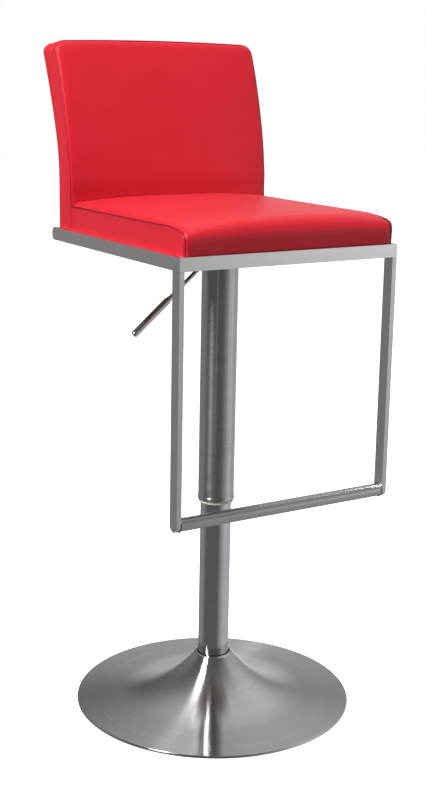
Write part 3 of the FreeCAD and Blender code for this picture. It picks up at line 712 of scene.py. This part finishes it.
def seat_profile(line, t):
    """The (y, z) of the side edge or the middle line at t from 0 to 1."""
    top, front = SEAT_LINES[line]
    y0, z0 = follow(top, np.clip(t / SEAT_SPLIT, 0, 1))
    y1, z1 = follow(front, np.clip((t - SEAT_SPLIT) / (1 - SEAT_SPLIT), 0, 1))
    first = t <= SEAT_SPLIT
    return np.where(first, y0, y1), np.where(first, z0, z1)


def seat_half(t):
    """Half the seat's width at a place along its top and front."""
    return SIDE - SEAT_TAPER * eased((np.asarray(t) - 0.72) / (SEAT_SPLIT - 0.72))


def seat_top_surface(s, t):
    """The top and front of the seat in one piece of cover, crowned across."""
    across = 2 * np.asarray(s) - 1
    crown = 1 - np.abs(across) ** CROWN_POWER
    edge_y, edge_z = seat_profile("edge", np.asarray(t))
    middle_y, middle_z = seat_profile("middle", np.asarray(t))
    y = edge_y * (1 - crown) + middle_y * crown
    z = edge_z * (1 - crown) + middle_z * crown
    return across * seat_half(t), y, z


def side_height():
    """The height of a side panel at its front corner."""
    return float(seat_profile("edge", np.array(SEAT_SPLIT))[1]) - SEAT_LOW[2]


def seat_side_surface(side):
    """A side of the seat, as a patch between the edge, the front, the bottom and the rear."""
    corner_y, corner_z = seat_profile("edge", np.array(SEAT_SPLIT))
    low_front_y = seat_profile("edge", np.array(1.0))[0]
    low_z = SEAT_LOW[2]

    def surface(s, t):
        s, t = np.asarray(s), np.asarray(t)
        top_y, top_z = seat_profile("edge", s * SEAT_SPLIT)
        share = side_height() / (top_z - low_z)
        t = 1 - (1 - t) * (share + (1 - share) * (1 - t))
        front_y, front_z = seat_profile("edge", 1 - t * (1 - SEAT_SPLIT))
        low_y = (1 - s) * SEAT_REAR + s * low_front_y
        rear_z = low_z + t * (SEAT_SIDE_Z - low_z)
        ruled_y = (1 - t) * low_y + t * top_y + (1 - s) * SEAT_REAR + s * front_y
        ruled_z = (1 - t) * low_z + t * top_z + (1 - s) * rear_z + s * front_z
        flat_y = (1 - s) * SEAT_REAR + s * ((1 - t) * low_front_y + t * corner_y)
        flat_z = (1 - t) * low_z + t * ((1 - s) * SEAT_SIDE_Z + s * corner_z)
        bulge = SIDE_BULGE * (1 - (2 * t - 1) ** 2)
        return side * (seat_half(s * SEAT_SPLIT) + bulge), ruled_y - flat_y, ruled_z - flat_z

    return surface


def seat_panels(spacing, rolled):
    """The seat's three panels. The side panels' rows are the top panel's, so that their edges meet."""
    length = SEAT_REAR - SEAT_FRONT
    height = side_height()
    width = 2 * SIDE
    top_edge = split_before = split_after = rear = bottom = [(0.0, 0.0, 0.0)]
    if rolled:
        top_edge = rolled_rows(SEAT_ROLL, width)
        split_before = rolled_rows(other_side(SEAT_ROLL), length)
        split_after = rolled_rows(other_side(SEAT_ROLL), height)
        rear = soft_rows(3.0 * MM, 1.6 * MM, length)
        bottom = soft_rows(3.0 * MM, 1.2 * MM, height, 3)
    forward = between(rear, split_before, spacing, length)
    upward = between(bottom, split_after, spacing, height)
    along = []
    for k, (place, sink, _) in enumerate(forward):
        place *= SEAT_SPLIT / forward[-1][0]
        along.append((place, sink if k < len(rear) else 0.0, 0.0))
    for k, (place, sink, _) in reversed(list(enumerate(upward[:-1]))):
        place *= (1 - SEAT_SPLIT) / upward[-1][0]
        along.append((1 - place, sink if k < len(bottom) else 0.0, 0.0))
    across = between(top_edge, top_edge, spacing, width)
    top = Panel(seat_top_surface, across, along, -1.0)
    # Painted shade: the top's side seams fade to NOSE_SHADE of their crease shade down the front, and the
    # side panels' front seams keep only NOSE_SHADE of it.
    top.fade = 1 - (1 - NOSE_SHADE) * eased((top.along[:, 0] - SEAT_SPLIT + 0.06) / 0.07)
    left = Panel(seat_side_surface(-1), forward, upward, -1.0)
    right = Panel(seat_side_surface(1), forward, upward, 1.0)
    for panel in (left, right):
        panel.fade[:] = NOSE_SHADE
    return top, left, right


# Backrest


def back_front_line():
    """The front edge from the bottom to the top, as (y, z) points."""
    points = [(BACK_LOW[1], BACK_LOW[2])]
    for z in np.linspace(BACK_FRONT_BEND_Z, BACK_FRONT_TOP, 60):
        lift = (z - BACK_FRONT_BEND_Z) / BACK_FRONT_R
        points.append((BACK_LOW[1] + BACK_FRONT_R * (1 - math.sqrt(1 - lift**2)), z))
    return points


def back_rear_line():
    """The rear edge: upright, then a bend, a wide curve and the rounded top."""
    centre = (BACK_REAR + BACK_BEND_R, BACK_BEND_Z)
    points = [(BACK_REAR, BACK_LOW[2])]
    for a in np.linspace(0, BACK_BEND_ANGLE, 20):
        points.append((centre[0] - BACK_BEND_R * math.cos(a), centre[1] + BACK_BEND_R * math.sin(a)))
    reach = BACK_UPPER_R - BACK_BEND_R
    upper_y = centre[0] + reach * math.cos(BACK_BEND_ANGLE)
    upper_z = centre[1] - reach * math.sin(BACK_BEND_ANGLE)
    last = math.asin((BACK_REAR_TOP - BACK_TOP_R - upper_z) / BACK_UPPER_R)
    for a in np.linspace(BACK_BEND_ANGLE, last, 30)[1:]:
        points.append((upper_y - BACK_UPPER_R * math.cos(a), upper_z + BACK_UPPER_R * math.sin(a)))
    round_y = points[-1][0] - BACK_TOP_R * math.cos(last)
    round_z = points[-1][1] + BACK_TOP_R * math.sin(last)
    for a in np.linspace(-last, BACK_TOP_TURN, 10)[1:]:
        points.append((round_y + BACK_TOP_R * math.cos(a), round_z + BACK_TOP_R * math.sin(a)))
    return points


BACK_LINES = (back_front_line(), back_rear_line())


def back_point(depth, s, t, corner_r=BACK_CORNER_R):
    """A point of the back, from its front (depth 0) to its rear (depth 1).

    Its top corners are rounded and its top is crowned.
    """
    s, t = np.asarray(s), np.asarray(t)
    height = BACK_FRONT_TOP - BACK_LOW[2]
    into_corner = np.clip(1 - (1 - t) * height / BACK_CORNER_R, 0, 1)
    half = SIDE - corner_r * (1 - np.sqrt(1 - into_corner**2))
    front_y, front_z = follow(BACK_LINES[0], t)
    front_y = front_y - BACK_PUFF * eased((front_z - SEAT_HIGH[2]) / (30 * MM))
    rear_y, rear_z = follow(BACK_LINES[1], t)
    crown = BACK_TOP_CROWN * (1 - (2 * s - 1) ** 2) * t**4
    y = front_y * (1 - depth) + rear_y * depth
    z = front_z * (1 - depth) + rear_z * depth + crown
    return (2 * s - 1) * half, y, z


def back_strip_surface(route):
    """The strip round the sides and top, along a route of (across, up) and back to the rear edge."""
    places = np.array(route)
    travel = np.linspace(0, 1, len(places))

    def surface(s, t):
        across = np.interp(s, travel, places[:, 0])
        up = np.interp(s, travel, places[:, 1])
        x, y, z = back_point(np.asarray(t), across, up)
        bulge = SIDE_BULGE * (1 - (2 * np.asarray(t) - 1) ** 2)
        on_side = np.clip(np.abs(2 * across - 1) * 2 - 1, 0, 1) * (up < 1)
        return x + np.sign(2 * across - 1) * bulge * on_side, y, z + bulge * (up >= 1)

    return surface


def back_panels(spacing, rolled):
    width = 2 * SIDE
    height = BACK_FRONT_TOP - BACK_LOW[2]
    depth = BACK_REAR - BACK_LOW[1]
    edges = {}
    for name, roll, size in (
        ("side", BACK_FRONT_ROLL, width),
        ("top", BACK_FRONT_ROLL, height),
        ("strip_front", other_side(BACK_FRONT_ROLL), depth),
        ("strip_rear", other_side(BACK_REAR_ROLL), depth),
        ("rear_side", BACK_REAR_ROLL, width),
        ("rear_top", BACK_REAR_ROLL, height),
    ):
        edges[name] = rolled_rows(roll, size) if rolled else [(0.0, 0.0, 0.0)]
    across = between(edges["side"], edges["side"], spacing, width)
    up = between([(0.0, 0.0, 0.0)], edges["top"], spacing, height)
    rear_across = between(edges["rear_side"], edges["rear_side"], spacing, width)
    rear_up = between([(0.0, 0.0, 0.0)], edges["rear_top"], spacing, height)
    route = [(0.0, row[0]) for row in up]
    route += [(row[0], 1.0) for row in across[1:-1]]
    route += [(1.0, row[0]) for row in reversed(up)]
    strip = [(k / (len(route) - 1), 0.0, 0.0) for k in range(len(route))]
    strip_across = between(edges["strip_front"], edges["strip_rear"], spacing, depth)

    def face(part):
        return lambda s, t: back_point(part, s, t)

    def plain_face(part):
        return lambda s, t: back_point(part, s, t, 0.0)

    front = Panel(face(0), across, up, 1.0, plain_face(0))
    rear = Panel(face(1), rear_across, rear_up, -1.0, plain_face(1))
    boxing = Panel(back_strip_surface(route), strip, strip_across, 1.0)
    return front, rear, boxing


# Meshes


class Cover:
    """A mesh joined from panels, which share the points along their seams."""

    def __init__(self):
        self.points = []
        self.shades = []
        self.faces = []
        self.same = {}
        self.placed = {}

    def add(self, panel):
        grid = panel.point(*panel.grid())
        rows, columns = grid.shape[:2]
        first = len(self.points)
        self.points.extend(grid.reshape(-1, 3))
        self.shades.extend(panel.shades().ravel())
        ids = first + np.arange(rows * columns).reshape(rows, columns)
        for i in range(rows - 1):
            for j in range(columns - 1):
                quad = [ids[i, j], ids[i + 1, j], ids[i + 1, j + 1], ids[i, j + 1]]
                self.faces.append(quad if panel.facing > 0 else quad[::-1])
        return ids

    def place(self, x, y, z):
        """The number of a point there, made only once."""
        key = (round(x, 6), round(y, 6), round(z, 6))
        if key not in self.placed:
            self.placed[key] = len(self.points)
            self.points.append(np.array([x, y, z]))
            self.shades.append(0.0)
        return self.placed[key]

    def weld(self, kept, joined):
        """Makes two edges one: each pair of points goes to the place between them."""
        for a, b in zip(kept, joined):
            a, b = self.root(a), self.root(b)
            if a == b:
                continue
            self.points[a] = (self.points[a] + self.points[b]) / 2
            self.same[b] = a

    def root(self, index):
        while index in self.same:
            index = self.same[index]
        return index

    def build(self, name):
        """The joined mesh, with the painted shade of the seams' creases, and each point's vertex number."""
        used = [k for k in range(len(self.points)) if k not in self.same]
        number = {k: n for n, k in enumerate(used)}
        faces = []
        for face in self.faces:
            corners = [number[self.root(k)] for k in face]
            kept = [c for c, after in zip(corners, corners[1:] + corners[:1]) if c != after]
            if len(kept) > 2:
                faces.append(kept)
        mesh = bpy.data.meshes.new(name)
        mesh.from_pydata([tuple(self.points[k]) for k in used], [], faces)
        mesh.update()
        # The seam attribute is painted shade: how far the leather's colour is darkened in each seam's
        # crease.
        shades = mesh.attributes.new("seam", "FLOAT", "POINT")
        for k, n in number.items():
            shades.data[n].value = self.shades[k]
        piece = bpy.data.objects.new(name, mesh)
        bpy.context.scene.collection.objects.link(piece)
        return piece, number


def seat_cover(panels):
    """The seat's panels joined, its rear and its underside with the pocket for the board."""
    cover = Cover()
    top_ids, left_ids, right_ids = grids = [cover.add(panel) for panel in panels]
    split = left_ids.shape[0]
    for ids, edge in ((left_ids, top_ids[0]), (right_ids, top_ids[-1])):
        cover.weld(edge[:split], ids[:, -1])
        cover.weld(edge[split - 1:], ids[-1, ::-1])
    held = list(top_ids[0]) + list(top_ids[-1]) + list(top_ids[:, 0]) + list(top_ids[:, -1])
    for ids in (left_ids, right_ids):
        held += list(ids[0]) + list(ids[:, 0])
    cover.faces.append(list(top_ids[:, 0]) + list(right_ids[0, ::-1]) + list(left_ids[0]))
    under = list(left_ids[:, 0]) + list(top_ids[1:-1, -1]) + list(right_ids[::-1, 0])
    pocket = []
    ceiling = []
    for index in under:
        x, y, _ = cover.points[cover.root(index)]
        x = np.clip(x, BOARD_LOW[0] - POCKET_GAP, BOARD_HIGH[0] + POCKET_GAP)
        y = np.clip(y, BOARD_LOW[1] - POCKET_GAP, BOARD_HIGH[1] + POCKET_GAP)
        pocket.append(cover.place(x, y, SEAT_LOW[2]))
        ceiling.append(cover.place(x, y, BOARD_HIGH[2] + POCKET_GAP))
    for k in range(len(under)):
        after = (k + 1) % len(under)
        cover.faces.append([under[after], under[k], pocket[k], pocket[after]])
        cover.faces.append([pocket[after], pocket[k], ceiling[k], ceiling[after]])
    cover.faces.append(ceiling[::-1])
    return cover, held + pocket + ceiling, grids


def rim(ids):
    """The points along a back panel's sides and top."""
    return list(ids[0]) + list(ids[1:-1, -1]) + list(ids[-1, ::-1])


def back_cover(panels):
    """The back's panels joined and closed underneath."""
    cover = Cover()
    front_ids, rear_ids, strip_ids = grids = [cover.add(panel) for panel in panels]
    cover.weld(rim(front_ids), strip_ids[:, 0])
    cover.weld(rim(rear_ids), strip_ids[:, -1])
    under = list(front_ids[:, 0]) + list(strip_ids[-1, 1:])
    under += list(rear_ids[::-1, 0]) + list(strip_ids[0, ::-1])
    cover.faces.append(under)
    return cover, rim(front_ids) + rim(rear_ids) + under, grids


def blown_up(piece, held):
    """Where a cover's points go when it is blown up as cloth with its held points fixed."""
    group = piece.vertex_groups.new(name="held")
    group.add(held, 1.0, "REPLACE")
    settings = piece.modifiers.new("cloth", "CLOTH").settings
    settings.quality = 6
    settings.mass = 0.3
    settings.tension_stiffness = 20.0
    settings.compression_stiffness = 20.0
    settings.bending_stiffness = 0.5
    settings.use_pressure = True
    settings.uniform_pressure_force = CLOTH_PRESSURE
    settings.effector_weights.gravity = 0.0
    settings.vertex_group_mass = "held"
    scene = bpy.context.scene
    for step in range(1, CLOTH_FRAMES + 1):
        scene.frame_set(step)
    evaluated = piece.evaluated_get(bpy.context.evaluated_depsgraph_get())
    moved = np.array([v.co for v in evaluated.to_mesh().vertices])
    scene.frame_set(1)
    return moved


def swell_panels(name, make_panels, join, target):
    """Each panel's swelling, smoothed, from a coarse trial cover that is blown up."""
    panels = make_panels(TRIAL_SPACING, False)
    cover, held, grids = join(panels)
    piece, number = cover.build(name + "_trial")
    rest = np.array([v.co for v in piece.data.vertices])
    moved = blown_up(piece, [number[cover.root(k)] for k in set(held)])
    fields = []
    for panel, ids in zip(panels, grids):
        s, t = panel.grid()
        chosen = np.array([[number[cover.root(k)] for k in row] for row in ids])
        rise = np.sum((moved[chosen] - rest[chosen]) * panel.normal(s, t), axis=-1)
        weights = np.linalg.lstsq(swell_terms(s, t).reshape(s.size, -1), rise.ravel(), rcond=None)[0]
        fields.append((weights, rise.max()))
    highest = max(high for _, high in fields)
    bpy.data.objects.remove(piece)
    return [weights * target / highest for weights, _ in fields]


def upholster(name, make_panels, join, target):
    """A finished cushion: swollen panels, rolled seams and a little unevenness."""
    panels = make_panels(MESH_SPACING, True)
    for panel, swell in zip(panels, swell_panels(name, make_panels, join, target)):
        panel.swell = swell
    piece, _ = join(panels)[0].build(name)
    for vertex in piece.data.vertices:
        vertex.co += vertex.normal * UNEVENNESS * noise.noise(vertex.co * 22.0)
    for polygon in piece.data.polygons:
        polygon.use_smooth = True
    piece.data.materials.append(LEATHER)
    return piece, panels


# ---------------- stitches


def stitch_row(panel, route):
    """Places for stitches along a route of (across, along): the middle, direction and normal of each."""
    s, t = np.array(route).T
    steps = np.linalg.norm(np.diff(panel.point(s, t), axis=0), axis=1)
    travelled = np.concatenate([[0], np.cumsum(steps)])
    count = int(travelled[-1] / STITCH_PITCH)
    middles = (np.arange(count) + 0.5) * travelled[-1] / count
    s_at, t_at = np.interp(middles, travelled, s), np.interp(middles, travelled, t)
    places = panel.point(s_at, t_at)
    ahead = panel.point(np.interp(middles + MM, travelled, s), np.interp(middles + MM, travelled, t))
    return list(zip(places, ahead - places, panel.normal(s_at, t_at)))


def stitching(name, rows):
    """One mesh of all the stitches of a cushion: short beads of thread, half sunk in the cover."""
    around, rings = 8, 5
    points, faces = [], []
    for middle, heading, normal in rows:
        along = heading / max(np.linalg.norm(heading), 1e-12)
        side = np.cross(normal, along)
        first = len(points)
        for ring in range(rings):
            place = (ring / (rings - 1) - 0.5) * 2
            girth = math.sqrt(1 - (0.97 * place) ** 2)
            centre = middle + along * place * STITCH_LENGTH / 2 + normal * (0.22 * girth - 0.12) * MM
            for k in range(around):
                turn = 2 * math.pi * k / around
                points.append(centre + (side * math.cos(turn) + normal * math.sin(turn)) * STITCH_R * girth)
        faces += tube_faces(first, rings, around)
    piece = smooth_piece(name, points, faces)
    piece.data.materials.append(THREAD)
    return piece


def tube_faces(first, rings, around):
    """The faces of a closed tube whose rings of points start at first."""
    faces = [[first + k for k in reversed(range(around))]]
    faces.append([first + (rings - 1) * around + k for k in range(around)])
    for ring in range(rings - 1):
        for k in range(around):
            after = (k + 1) % around
            base = first + ring * around
            faces.append([base + k, base + after, base + around + after, base + around + k])
    return faces


def smooth_piece(name, points, faces):
    mesh = bpy.data.meshes.new(name)
    mesh.from_pydata([tuple(p) for p in points], [], faces)
    mesh.update()
    for polygon in mesh.polygons:
        polygon.use_smooth = True
    piece = bpy.data.objects.new(name, mesh)
    bpy.context.scene.collection.objects.link(piece)
    return piece


def seat_stitches(panels):
    """A row of topstitching beside each side seam, on the top and front."""
    inset = SEAT_STITCH_INSET / (2 * SIDE)
    rows = []
    for s in (inset, 1 - inset):
        rows += stitch_row(panels[0], [(s, t) for t in np.linspace(0.015, 0.985, 160)])
    return stitching("seat_stitching", rows)


def back_stitches(panels):
    """A row of topstitching behind the front seam and one before the rear seam, on the strip."""
    rows = []
    for t in BACK_STITCH_PLACES:
        rows += stitch_row(panels[2], [(s, t) for s in np.linspace(0.10, 0.90, 300)])
    return stitching("back_stitching", rows)


# ---------------- welds


def foot_bar_welds():
    """A fillet ring where each end of the foot bar meets its leg."""
    low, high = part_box("foot_bar")
    middle = (low + high) / 2
    radius = (high.z - low.z) / 2
    material = plain_material("weld_steel", (0.42, 0.41, 0.40), 1.0, 0.34, 900.0, 0.3)
    around, rings = 48, 6
    for name, x, inward in (("left_foot_weld", low.x, 1), ("right_foot_weld", high.x, -1)):
        points, faces = [], []
        for k in range(around):
            turn = 2 * math.pi * k / around
            size = WELD_SIZE * (1 + 0.12 * math.sin(9 * turn))
            for ring in range(rings):
                angle = 0.5 * math.pi * ring / (rings - 1)
                out = radius - 0.3 * MM + size * (1 - math.sin(angle))
                reach = size * (1 - math.cos(angle)) + 0.02 * MM
                y = middle.y + out * math.cos(turn)
                z = middle.z + out * math.sin(turn)
                points.append((x + inward * reach, y, z))
        for k in range(around):
            after = (k + 1) % around
            for ring in range(rings - 1):
                here, there = k * rings + ring, after * rings + ring
                faces.append([here, there, there + 1, here + 1])
        piece = smooth_piece(name, points, faces)
        piece.data.materials.append(material)
        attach(piece, "seat")


# ---------------- the whole stool

bpy.context.scene.view_settings.view_transform = "Standard"
add_camera()
add_world()
add_lights()
add_floor()
paint_cad_nodes()
LEATHER = leather_material()
THREAD = thread_material()

seat_piece, seat_parts = upholster("seat_upholstery", seat_panels, seat_cover, SEAT_SWELL)
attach(seat_piece, "seat")
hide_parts("seat_cushion")

back_piece, back_parts = upholster("back_upholstery", back_panels, back_cover, BACK_SWELL)
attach(back_piece, "seat")
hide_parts("backrest_cushion")

for thread in (seat_stitches(seat_parts), back_stitches(back_parts)):
    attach(thread, "seat")

foot_bar_welds()
